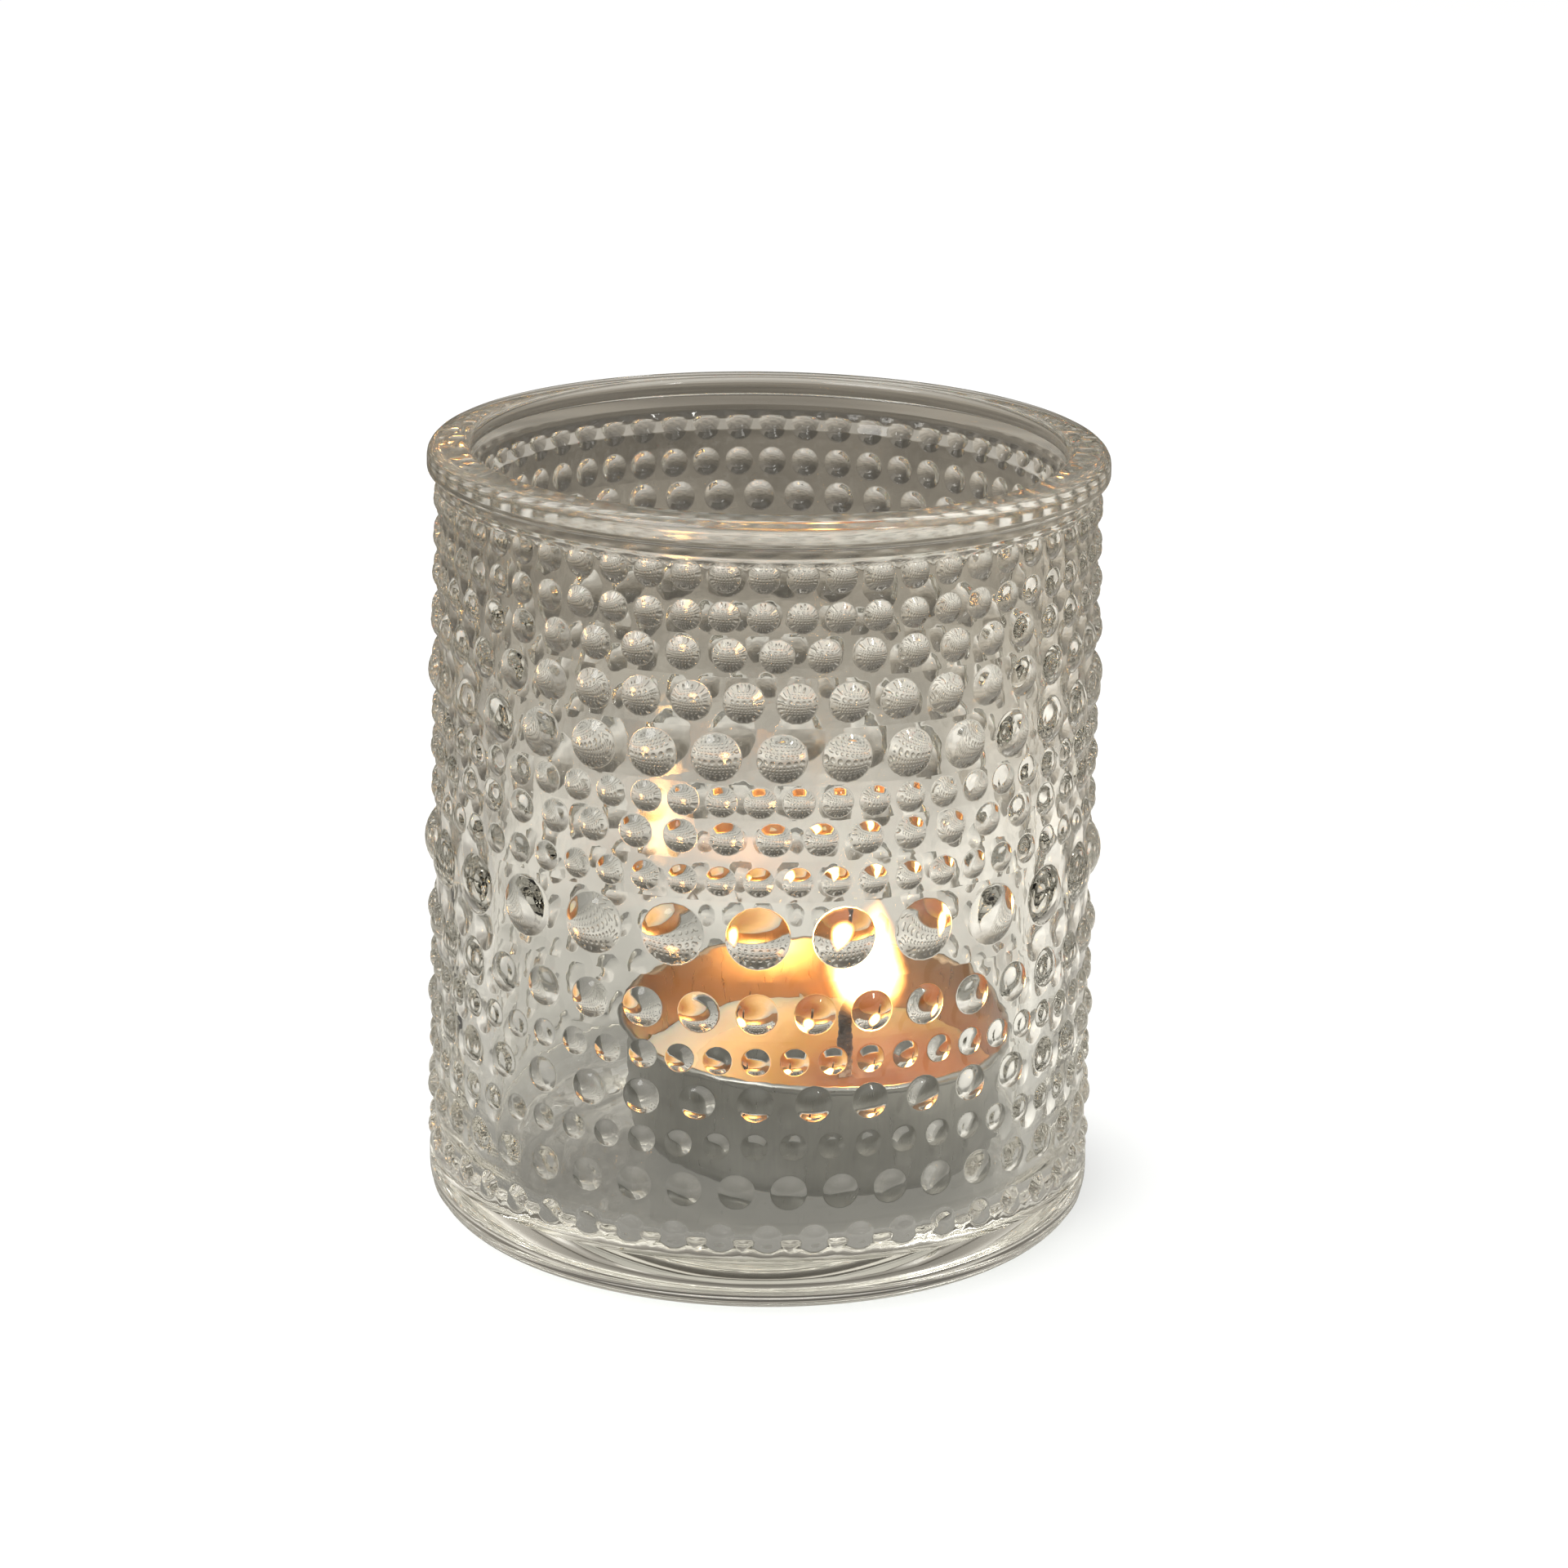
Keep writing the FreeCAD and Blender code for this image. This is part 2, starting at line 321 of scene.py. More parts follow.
def surface_radius(dome, height, distance):
    """The wall or the hobnail on it, whichever stands further out."""
    return max(wall_radius(height), plain_radius(height) + dome.height(distance))


def hobnail_band(skin, row, bottom, top, levels, steps, caps):
    """One row of hobnails, each in its own cell of the wall. Returns the band's two edge rings."""
    middle, count, base_radius = row
    dome = Dome(base_radius)
    pitch = 2 * math.pi / count
    first_left = FRONT_TURN + (ROW_TURN.get(count, 0.0) - 0.5) * pitch
    wall = plain_radius(middle)

    def place_point(cell, across, height):
        """across is the angle from the cell's middle."""
        distance = math.hypot(across * wall, height - middle)
        angle = first_left + (cell + 0.5) * pitch + across
        return skin.add(angle, surface_radius(dome, height, distance), height)

    edges = {}
    for height in (bottom, top):
        edges[height] = [
            place_point(place // steps, (place % steps / steps - 0.5) * pitch, height)
            for place in range(count * steps)
        ]
    columns = [
        [place_point(cell, -pitch / 2, height) for height in levels] for cell in range(count)
    ]
    low_ring = Ring(edges[bottom], first_left)
    high_ring = Ring(edges[top], first_left)
    heights = [bottom] + levels + [top]
    rings = dome.ring_distances(caps)

    for cell in range(count):
        border = []
        for place in range(steps):
            border.append((low_ring.at(cell * steps + place), (place / steps - 0.5) * pitch, bottom))
        right = [low_ring.at((cell + 1) * steps)] + columns[(cell + 1) % count]
        for ids, height in zip(right, heights[:-1]):
            border.append((ids, pitch / 2, height))
        for place in range(steps, 0, -1):
            border.append((high_ring.at(cell * steps + place), (place / steps - 0.5) * pitch, top))
        left = [high_ring.at(cell * steps)] + columns[cell][::-1]
        for ids, height in zip(left, heights[:0:-1]):
            border.append((ids, -pitch / 2, height))

        outer = [ids for ids, across, height in border]
        for number, ring_distance in enumerate(rings):
            widest = 1 - RING_ROOM * (number + 1)
            inner = []
            for ids, across, height in border:
                rise = height - middle
                share = min(ring_distance / math.hypot(across * wall, rise), widest)
                inner.append(place_point(cell, across * share, middle + rise * share))
            for place in range(len(outer)):
                after = (place + 1) % len(outer)
                skin.faces.append((outer[place], outer[after], inner[after], inner[place]))
            outer = inner
        pole = place_point(cell, 0.0, middle)
        for place in range(len(outer)):
            skin.faces.append((outer[place], outer[(place + 1) % len(outer)], pole))
    return low_ring, high_ring


def band_limits():
    """Lower and upper edge of each row's band, halfway between neighbouring hobnails."""
    limits = [HEEL_BAND_TOP]
    for low, high in zip(HOBNAIL_ROWS[:-1], HOBNAIL_ROWS[1:]):
        limits.append((low[0] + low[2] + high[0] - high[2]) / 2)
    limits.append(NECK_BAND_BOTTOM)
    return limits


def column_levels(bottom, top, number, steps):
    """Heights of the points between two cells; the lowest row follows the base band's step."""
    if number == 0:
        step_foot = BASE_BAND_TOP - BAND_STEP
        lower = [bottom + (step_foot - bottom) * share for share in LOWEST_ROW_BELOW]
        upper = [BASE_BAND_TOP + (top - BASE_BAND_TOP) * share for share in LOWEST_ROW_ABOVE]
        return lower + upper
    return [bottom + (top - bottom) * step / steps for step in range(1, steps)]


def heel_profile():
    """Rounded heel from the contact ring up, with a fine raised line running round it."""
    centre = Vector((HEEL_BAND_RADIUS - HEEL_ROUND, HEEL_ROUND))
    seam = math.acos((HEEL_ROUND - SEAM_HEIGHT) / HEEL_ROUND)
    half_width = SEAM_HALF_WIDTH / HEEL_ROUND
    plain = [math.pi / 2 * step / HEEL_STEPS for step in range(HEEL_STEPS + 1)]
    plain = [angle for angle in plain if abs(angle - seam) > SEAM_ROOM * half_width]
    spots = [(angle, 0.0) for angle in plain]
    spots += [(seam - half_width, 0.0), (seam, SEAM_PROUD), (seam + half_width, 0.0)]
    profile = []
    for angle, proud in sorted(spots):
        reach = HEEL_ROUND + proud
        profile.append((centre.x + reach * math.sin(angle), centre.y - reach * math.cos(angle)))
    return profile


def make_glass():
    """The whole holder as one closed surface: hobnail bands, then heel and underside, then rim and bore."""
    skin = Skin()
    limits = band_limits()
    bands = []
    for number, row in enumerate(HOBNAIL_ROWS):
        bottom = limits[number] + BAND_GAP
        top = limits[number + 1] - BAND_GAP
        steps, caps = CROWDED_MESH if row[1] > CROWDED else OPEN_MESH
        levels = column_levels(bottom, top, number, steps)
        bands.append(hobnail_band(skin, row, bottom, top, levels, steps, caps))
    for low, high in zip(bands[:-1], bands[1:]):
        skin.join(low[1], high[0])

    underside = [(CONTACT_RADIUS * out, PUNT_DEPTH * deep) for out, deep in PUNT_PROFILE]
    heel_edge = HEEL_BAND_TOP - BAND_STEP
    band_edge = [
        (HEEL_BAND_RADIUS, heel_edge - HEEL_EDGE_HEIGHT),
        (HEEL_BAND_RADIUS - HEEL_EDGE_DEPTH, heel_edge),
        (BASE_BAND_RADIUS + HEEL_TOE_WIDTH, HEEL_BAND_TOP - HEEL_TOE_HEIGHT),
    ]
    skin.lathe(underside + heel_profile() + band_edge, LATHE_SEGMENTS, last=bands[0][0])

    highest = bands[-1][1]
    neck_edge = [(NECK_BAND_RADIUS, NECK_BAND_BOTTOM + BAND_STEP)]
    neck = skin.lathe(neck_edge, highest.count, highest.start, first=highest)
    rim_corners = [
        (NECK_BAND_RADIUS, NECK_BAND_BOTTOM + 2 * BAND_STEP, 0),
        (NECK_BAND_RADIUS, RIM_BOTTOM, SMALL_EASE),
        (RIM_RADIUS, RIM_BOTTOM, RIM_LOWER_ROUND),
        (RIM_RADIUS, HOLDER_HEIGHT, RIM_UPPER_ROUND),
        (LIP_RADIUS, HOLDER_HEIGHT, LIP_ROUND),
        (LIP_RADIUS, LIP_BOTTOM, SMALL_EASE),
        (MOUTH_RADIUS, MOUTH_TOP, SMALL_EASE),
        (MOUTH_RADIUS, MOUTH_BOTTOM, MOUTH_EASE),
        (BORE_TOP_RADIUS, BORE_TOP, BORE_EASE),
        (BORE_BOTTOM_RADIUS, FLOOR_HEIGHT, FLOOR_ROUND),
        (0, FLOOR_HEIGHT, 0),
    ]
    skin.lathe(rounded(rim_corners, RIM_ARC_STEPS), LATHE_SEGMENTS, first=neck)
    return skin.build("pressed_glass", sharp_degrees=GLASS_SHARP)


# ---------------------------------------------------------------- tealight

CUP_WALL = 0.25 * MM
CUP_BASE_RADIUS = CUP_RIM_RADIUS - 1.30 * MM
CUP_TOP_RADIUS = CUP_RIM_RADIUS - 0.70 * MM
CUP_CORNER_ROUND = 3.2 * MM
CUP_FLOOR = 0.6 * MM             # height of the inside at the middle of the base
PANEL_RISE = 0.35 * MM           # raised panel in the middle of the cup's base
PANEL_TOP_SHARE = 0.58           # its radius over the base's, at the top of its slope
PANEL_FOOT_SHARE = 0.62          # and at the foot
PANEL_EASE = 0.3 * MM
BEAD_RADIUS = 0.42 * MM          # the rolled edge
BEAD_START = math.radians(-130)
BEAD_TURN = math.radians(310)
BEAD_STEPS = 16
BEAD_OUTER_GAP = 0.6 * MM        # how far below the bead's middle the wall ends, outside
BEAD_INNER_GAP = 0.2 * MM        # and inside
FLOOR_GAP = 0.04 * MM            # air under the cup, so that its base and the glass don't coincide
CUP_SEGMENTS = 160
WAX_SEGMENTS = 128
WAX_RINGS = 40
POOL_RADIUS = 14.5 * MM
POOL_DEPTH = 0.9 * MM
WAX_CREEP = 0.35 * MM            # how far it climbs at the cup's wall
WAX_CREEP_REACH = 0.6 * MM
WAX_COLLAR = 0.45 * MM           # and at the wick
WAX_COLLAR_REACH = 0.5 * MM
WAX_TAPER = 0.4 * MM             # how much narrower the block is at the bottom
WAX_SIDE_DROP = 0.3 * MM         # how far below the top its side ends
WICK_RADIUS = 0.75 * MM
WICK_SIDES = 36
WICK_FOOT = Vector((WICK_LOW.x + WICK_RADIUS, (CUP_LOW.y + CUP_HIGH.y) / 2, WICK_LOW.z))
WICK_STRAIGHT = 10.6 * MM
WICK_BEND_RADIUS = 4.5 * MM
WICK_BEND = math.radians(45)
WICK_HEADING = math.radians(10)
WICK_STRAIGHT_STEPS = 60
WICK_BEND_STEPS = 40
BRAID_STRANDS = 3                # winding each way
BRAID_TURNS = 26
BRAID_CORE = 0.86                # radius of the cord under its strands, as a share of the wick's
BRAID_RELIEF = 0.12              # height of a strand, as a share of the same
TIP_SHARE = 0.04                 # last part of the length, which narrows
TIP_NARROWING = 0.55             # by this share of the radius
FLAME_HEIGHT = 13.4 * MM
FLAME_RADIUS = 5.2 * MM
FLAME_DROP = 3.4 * MM            # how far the flame's foot hangs below the wick's tip
FLAME_FOOT_RIGHT = 0.4 * MM
FLAME_DRIFT = 1.2 * MM           # how far its point leans to the right
FLAME_CURL = 1.6                 # power that puts most of the lean near the point
FLAME_FOOT_POWER = 0.62          # lower makes a blunter foot
FLAME_POINT_POWER = 0.85         # higher makes a longer point
FLAME_FOOT_SHARE = 0.015         # keeps the foot from closing to nothing
FLAME_SWELL = 0.405              # the outline's widest place comes to 0.93 of the radius
FLAME_THINNEST = 0.02 * MM
FLAME_STEPS = 48
FLAME_SIDES = 40


def tealight_cup():
    """Drawn aluminium cup: a stepped base, a slightly flared wall and a rolled edge."""
    bead_height = CUP_HEIGHT - BEAD_RADIUS
    bead_middle = CUP_RIM_RADIUS - BEAD_RADIUS
    bead = []
    for step in range(BEAD_STEPS + 1):
        angle = BEAD_START + BEAD_TURN * step / BEAD_STEPS
        bead.append((
            bead_middle + BEAD_RADIUS * math.cos(angle),
            bead_height + BEAD_RADIUS * math.sin(angle),
        ))
    outside = rounded([
        (0, PANEL_RISE, 0),
        (PANEL_TOP_SHARE * CUP_BASE_RADIUS, PANEL_RISE, PANEL_EASE),
        (PANEL_FOOT_SHARE * CUP_BASE_RADIUS, FLOOR_GAP, PANEL_EASE),
        (CUP_BASE_RADIUS, FLOOR_GAP, CUP_CORNER_ROUND),
        (CUP_TOP_RADIUS, bead_height - BEAD_OUTER_GAP, 0),
    ])
    inside = rounded([
        (CUP_TOP_RADIUS - CUP_WALL, bead_height - BEAD_INNER_GAP, 0),
        (CUP_BASE_RADIUS - CUP_WALL, CUP_WALL, CUP_CORNER_ROUND - CUP_WALL),
        (0, CUP_FLOOR, 0),
    ])
    skin = Skin()
    skin.lathe(outside + bead + inside, CUP_SEGMENTS)
    return skin.build("aluminium_cup", CANDLE)


def wax_body():
    """Wax with a melted hollow, creeping up a little at the cup and at the wick.

    Its rings shift sideways towards the wick, which stands off the cup's axis.
    """
    top = WAX_HIGH.z - CANDLE.z
    bottom = WAX_LOW.z - CANDLE.z
    edge = (WAX_HIGH.x - WAX_LOW.x) / 2
    level = top - WAX_CREEP
    surface = []
    for step in range(WAX_RINGS + 1):
        radius = edge * (1 - step / WAX_RINGS)
        hollow = max(0.0, 1 - (radius / POOL_RADIUS) ** 2) * (POOL_DEPTH - WAX_CREEP)
        creep = WAX_CREEP * math.exp(-(edge - radius) / WAX_CREEP_REACH)
        collar = WAX_COLLAR * math.exp(-max(0.0, radius - WICK_RADIUS) / WAX_COLLAR_REACH)
        surface.append((radius, level - hollow + creep + collar))
    block = rounded([
        (0, bottom, 0),
        (edge - WAX_TAPER, bottom, CUP_CORNER_ROUND),
        (edge, top - WAX_SIDE_DROP, 0),
    ])
    skin = Skin()
    skin.lathe(block + surface, WAX_SEGMENTS)
    shifted = []
    for x, y, z in skin.points:
        shift = (WICK_FOOT.x - CANDLE.x) * (1 - math.hypot(x, y) / edge)
        shifted.append((x + shift, y, z))
    skin.points = shifted
    return skin.build("melted_wax", CANDLE)


def tube(name, path, radius_at, segments):
    """A closed tube along a path. radius_at(share along the path, angle around it)."""
    skin = Skin()
    side = Vector((0, 1, 0))
    last_ids = None
    for place, spot in enumerate(path):
        before = path[max(0, place - 1)]
        after = path[min(len(path) - 1, place + 1)]
        forward = (after - before).normalized()
        side = (side - forward * side.dot(forward)).normalized()
        other = forward.cross(side)
        ids = []
        for turn in range(segments):
            angle = 2 * math.pi * turn / segments
            radius = radius_at(place / (len(path) - 1), angle)
            rim = spot + (side * math.cos(angle) + other * math.sin(angle)) * radius
            skin.points.append(tuple(rim))
            ids.append(len(skin.points) - 1)
        if last_ids is None:
            skin.faces.append(tuple(reversed(ids)))
        else:
            for turn in range(segments):
                after_turn = (turn + 1) % segments
                skin.faces.append((
                    last_ids[turn], last_ids[after_turn], ids[after_turn], ids[turn]
                ))
        last_ids = ids
    skin.faces.append(tuple(last_ids))
    return skin.build(name)


def wick_path():
    """Straight up from the sustainer, then an arc to the right."""
    heading = Vector((math.cos(WICK_HEADING), math.sin(WICK_HEADING), 0))
    up = Vector((0, 0, 1))
    path = []
    for step in range(WICK_STRAIGHT_STEPS):
        path.append(WICK_FOOT + up * (WICK_STRAIGHT * step / WICK_STRAIGHT_STEPS))
    bend_start = WICK_FOOT + up * WICK_STRAIGHT
    for step in range(WICK_BEND_STEPS + 1):
        angle = WICK_BEND * step / WICK_BEND_STEPS
        path.append(
            bend_start
            + heading * (WICK_BEND_RADIUS * (1 - math.cos(angle)))
            + up * (WICK_BEND_RADIUS * math.sin(angle))
        )
    return path


def braided_wick():
    """Cotton cord of crossing strands, worn narrower at its burning tip."""

    def radius_at(share, angle):
        wind = share * BRAID_TURNS * 2 * math.pi
        strands = max(
            math.sin(BRAID_STRANDS * angle + wind), math.sin(BRAID_STRANDS * angle - wind)
        )
        worn = max(0.0, (share - (1 - TIP_SHARE)) / TIP_SHARE)
        tip = 1 - TIP_NARROWING * worn ** 2
        return WICK_RADIUS * (BRAID_CORE + BRAID_RELIEF * strands) * tip

    return tube("braided_wick", wick_path(), radius_at, WICK_SIDES)


def flame_shape():
    """Teardrop that hangs on the wick's tip and drifts a little with the air."""
    tip = wick_path()[-1]
    foot = tip + Vector((FLAME_FOOT_RIGHT, 0, -FLAME_DROP))
    path = []
    for step in range(FLAME_STEPS + 1):
        share = step / FLAME_STEPS
        path.append(foot + Vector((FLAME_DRIFT * share ** FLAME_CURL, 0, FLAME_HEIGHT * share)))

    def radius_at(share, angle):
        blunt = (share + FLAME_FOOT_SHARE) ** FLAME_FOOT_POWER
        narrow = max(0.0, 1.0 - share) ** FLAME_POINT_POWER
        return max(FLAME_THINNEST, FLAME_RADIUS * blunt * narrow / FLAME_SWELL)

    return tube("flame", path, radius_at, FLAME_SIDES)


# ---------------------------------------------------------------- materials

MIX_FIRST = 6                    # the Mix node's colour sockets share their names with its others
MIX_SECOND = 7
MIX_RESULT = 2


def grey(level):
    return (level, level, level)


class Nodes:
    """Small helper for building the node tree of a material or a world."""

    def __init__(self, owner):
        owner.use_nodes = True
        self.tree = owner.node_tree
        self.tree.nodes.clear()

    def new(self, kind, **settings):
        node = self.tree.nodes.new(kind)
        for key, value in settings.items():
            setattr(node, key, value)
        return node

    def link(self, source, target):
        self.tree.links.new(source, target)

    def math(self, operation, *values):
        node = self.new("ShaderNodeMath", operation=operation)
        for slot, value in enumerate(values):
            if isinstance(value, (int, float)):
                node.inputs[slot].default_value = value
            else:
                self.link(value, node.inputs[slot])
        return node.outputs[0]

    def ramp(self, factor, stops):
        node = self.new("ShaderNodeValToRGB")
        elements = node.color_ramp.elements
        while len(elements) < len(stops):
            elements.new(0.5)
        for element, (place, colour) in zip(elements, stops):
            element.position = place
            element.color = (*colour, 1)
        self.link(factor, node.inputs["Fac"])
        return node.outputs["Color"]

    def vector(self, operation, *values):
        """A vector node, for its outputs; a value is a socket or three numbers."""
        node = self.new("ShaderNodeVectorMath", operation=operation)
        for slot, value in enumerate(values):
            if isinstance(value, bpy.types.NodeSocket):
                self.link(value, node.inputs[slot])
            else:
                node.inputs[slot].default_value = value
        return node.outputs

    def place(self):
        """The shaded point in its object's own coordinates: the CAD's, with the tealight at rest."""
        return self.new("ShaderNodeTexCoord").outputs["Object"]

    def flat_offset(self, centre):
        """Vector from a centre to the shaded point, with its height left out."""
        apart = self.vector("SUBTRACT", self.place(), centre)["Vector"]
        return self.vector("MULTIPLY", apart, (1, 1, 0))["Vector"]

    def axes(self, vector):
        node = self.new("ShaderNodeSeparateXYZ")
        self.link(vector, node.inputs[0])
        return node.outputs

    def noise(self, scale, detail, vector):
        node = self.new("ShaderNodeTexNoise")
        node.inputs["Scale"].default_value = scale
        node.inputs["Detail"].default_value = detail
        self.link(vector, node.inputs["Vector"])
        return node.outputs["Fac"]

    def bump(self, height, distance):
        node = self.new("ShaderNodeBump")
        node.inputs["Strength"].default_value = 1.0
        node.inputs["Distance"].default_value = distance
        self.link(height, node.inputs["Height"])
        return node.outputs["Normal"]

    def mix_colours(self, factor, first, second):
        """Mixes a colour socket with four numbers."""
        node = self.new("ShaderNodeMix", data_type="RGBA")
        self.link(factor, node.inputs["Factor"])
        self.link(first, node.inputs[MIX_FIRST])
        node.inputs[MIX_SECOND].default_value = second
        return node.outputs[MIX_RESULT]

    def mix_shaders(self, factor, first, second):
        node = self.new("ShaderNodeMixShader")
        self.link(factor, node.inputs[0])
        self.link(first.outputs[0], node.inputs[1])
        self.link(second.outputs[0], node.inputs[2])
        return node

    def surface(self, shader):
        output = self.new("ShaderNodeOutputMaterial")
        self.link(shader.outputs[0], output.inputs["Surface"])


GLASS_COLOUR = (0.965, 0.962, 0.948, 1)
GLASS_IOR = 1.5
GLASS_SHADOW = (0.93, 0.935, 0.92, 1)     # what it lets through, for shadows and soft light
WAVE_SCALE = 260.0               # unevenness of the wall from pressing
WAVE_DETAIL = 2.0
WAVE_HEIGHT = 0.03 * MM
WAVES_FULL_ABOVE = 1.2 * BASE_BAND_TOP
WAVES_FULL_BELOW = 0.97 * NECK_BAND_BOTTOM
NECK_FROST = 0.09                # roughness of the neck band and the lower part of the rim
RIM_FROST = 0.06                 # and of the top of the rim


def glass_material():
    """Clear pressed glass, faintly grey, its wall wavy from pressing, neck and rim less polished."""
    material = bpy.data.materials.new("pressed_glass")
    nodes = Nodes(material)
    place = nodes.place()
    height = nodes.axes(place)["Z"]
    rise = nodes.math("DIVIDE", height, HOLDER_HEIGHT)
    wavy = nodes.ramp(rise, [
        (HEEL_BAND_TOP / HOLDER_HEIGHT, grey(0.0)),
        (WAVES_FULL_ABOVE / HOLDER_HEIGHT, grey(1.0)),
        (WAVES_FULL_BELOW / HOLDER_HEIGHT, grey(1.0)),
        (NECK_BAND_BOTTOM / HOLDER_HEIGHT, grey(0.0)),
    ])
    wave = nodes.math("MULTIPLY", nodes.noise(WAVE_SCALE, WAVE_DETAIL, place), wavy)
    above = nodes.math("SUBTRACT", height, NECK_BAND_BOTTOM)
    share = nodes.math("DIVIDE", above, HOLDER_HEIGHT - NECK_BAND_BOTTOM)
    frost = nodes.ramp(share, [
        (0.0, grey(0.0)),
        (0.1, grey(NECK_FROST)),
        (0.5, grey(NECK_FROST)),
        (1.0, grey(RIM_FROST)),
    ])
    clear = nodes.new("ShaderNodeBsdfGlass")
    clear.inputs["Color"].default_value = GLASS_COLOUR
    clear.inputs["IOR"].default_value = GLASS_IOR
    nodes.link(frost, clear.inputs["Roughness"])
    nodes.link(nodes.bump(wave, WAVE_HEIGHT), clear.inputs["Normal"])
    see_through = nodes.new("ShaderNodeBsdfTransparent")
    see_through.inputs["Color"].default_value = GLASS_SHADOW
    path = nodes.new("ShaderNodeLightPath")
    passes = nodes.math("MAXIMUM", path.outputs["Is Shadow Ray"], path.outputs["Is Diffuse Ray"])
    nodes.surface(nodes.mix_shaders(passes, clear, see_through))
    return material


MARK_SCALE = 2600.0              # upright draw marks
MARK_DETAIL = 3.0
MARK_STRETCH = (1.0, 1.0, 0.06)
DRAWN_DARK = (0.34, 0.338, 0.32)
DRAWN_LIGHT = (0.38, 0.377, 0.355)
DRAWN_ROUGHNESS = 0.24
MARK_ROUGHNESS = 0.10
DENT_SCALE = 260.0
DENT_DETAIL = 1.0
DENT_DEPTH = 0.012 * MM
# inside the cup above the wax: a wax film tinted orange, which partly paints the flame's warm reflected
# light
WAX_FILM_AND_PAINTED_GLOW = (0.50, 0.35, 0.22, 1)
FILM_BOTTOM = WAX_HIGH.z - 0.5 * MM


def aluminium_material():
    """Thin drawn aluminium: faint upright draw marks, shallow dents and, inside above the wax, a warm film
    that is partly wax and partly painted orange flame glow.
    """
    material = bpy.data.materials.new("drawn_aluminium")
    nodes = Nodes(material)
    place = nodes.place()
    stretch = nodes.new("ShaderNodeMapping")
    stretch.inputs["Scale"].default_value = MARK_STRETCH
    nodes.link(place, stretch.inputs["Vector"])
    marks = nodes.noise(MARK_SCALE, MARK_DETAIL, stretch.outputs["Vector"])
    dents = nodes.noise(DENT_SCALE, DENT_DETAIL, place)
    bare = nodes.ramp(marks, [(0.3, DRAWN_DARK), (0.7, DRAWN_LIGHT)])
    facing = nodes.new("ShaderNodeNewGeometry").outputs["True Normal"]
    outwards = nodes.vector("DOT_PRODUCT", nodes.flat_offset(CANDLE), facing)["Value"]
    inside = nodes.math("LESS_THAN", outwards, 0.0)
    above = nodes.math("GREATER_THAN", nodes.axes(place)["Z"], FILM_BOTTOM)
    # painted flame glow: the inner wall above the wax takes the warm film colour, part wax film, part
    # painted reflection of the flame
    shade = nodes.mix_colours(nodes.math("MULTIPLY", inside, above), bare, WAX_FILM_AND_PAINTED_GLOW)
    metal = nodes.new("ShaderNodeBsdfPrincipled")
    metal.inputs["Metallic"].default_value = 1.0
    rough = nodes.math("MULTIPLY_ADD", marks, MARK_ROUGHNESS, DRAWN_ROUGHNESS)
    nodes.link(shade, metal.inputs["Base Color"])
    nodes.link(rough, metal.inputs["Roughness"])
    nodes.link(nodes.bump(dents, DENT_DEPTH), metal.inputs["Normal"])
    nodes.surface(metal)
    return material


MELT_MIDDLE = WICK_FOOT + Vector((6.0 * MM, 0, 0))
MELT_REACH = 27.0 * MM           # from there to the palest wax at the cup's far side
MELT_WOBBLE = 2.5 * MM           # how uneven the melt's edge is
WOBBLE_SCALE = 300.0
WAX_DETAIL = 2.0
WAX_IOR = 1.43
WAX_SCATTER = 0.6                # share of the light that enters and spreads
WAX_SCATTER_COLOURS = (1.0, 0.45, 0.2)
WAX_SCATTER_REACH = 3.0 * MM
RIPPLE_SCALE = 500.0
RIPPLE_HEIGHT = 0.03 * MM


def wax_material():
    """Paraffin lit by the flame: clear amber melt around the wick, cloudy solid wax far from it. The amber
    and orange are partly painted flame light.
    """
    material = bpy.data.materials.new("paraffin")
    nodes = Nodes(material)
    place = nodes.place()
    length = nodes.vector("LENGTH", nodes.flat_offset(MELT_MIDDLE))["Value"]
    wobble = nodes.math("MULTIPLY", nodes.noise(WOBBLE_SCALE, WAX_DETAIL, place), MELT_WOBBLE)
    share = nodes.math("DIVIDE", nodes.math("ADD", length, wobble), MELT_REACH)
    # painted flame light: the dark amber and the orange stand partly for the flame's warm light on the melt
    # and on the cup seen through it
    colour = nodes.ramp(share, [
        (0.0, (0.26, 0.10, 0.025)),
        (0.35, (0.32, 0.13, 0.035)),
        (0.55, (0.50, 0.30, 0.09)),
        (0.75, (0.86, 0.60, 0.29)),
        (1.0, (0.90, 0.84, 0.72)),
    ])
    rough = nodes.ramp(share, [(0.6, grey(0.07)), (0.95, grey(0.38))])
    wax = nodes.new("ShaderNodeBsdfPrincipled")
    nodes.link(colour, wax.inputs["Base Color"])
    nodes.link(rough, wax.inputs["Roughness"])
    wax.inputs["IOR"].default_value = WAX_IOR
    wax.inputs["Subsurface Weight"].default_value = WAX_SCATTER
    wax.inputs["Subsurface Radius"].default_value = WAX_SCATTER_COLOURS
    wax.inputs["Subsurface Scale"].default_value = WAX_SCATTER_REACH
    ripple = nodes.noise(RIPPLE_SCALE, WAX_DETAIL, place)
    nodes.link(nodes.bump(ripple, RIPPLE_HEIGHT), wax.inputs["Normal"])
    nodes.surface(wax)
    return material


CHAR_SCALE = 3000.0              # patchiness of the charring
CHAR_SPREAD = 0.3
FIBRE_SCALE = 6000.0
FIBRE_HEIGHT = 0.03 * MM
COTTON_DETAIL = 3.0
COTTON_ROUGHNESS = 0.9
COTTON_SHEEN = 0.2
EMBER_COLOUR = (1.0, 0.22, 0.03)
EMBER_GLOW = 2.5


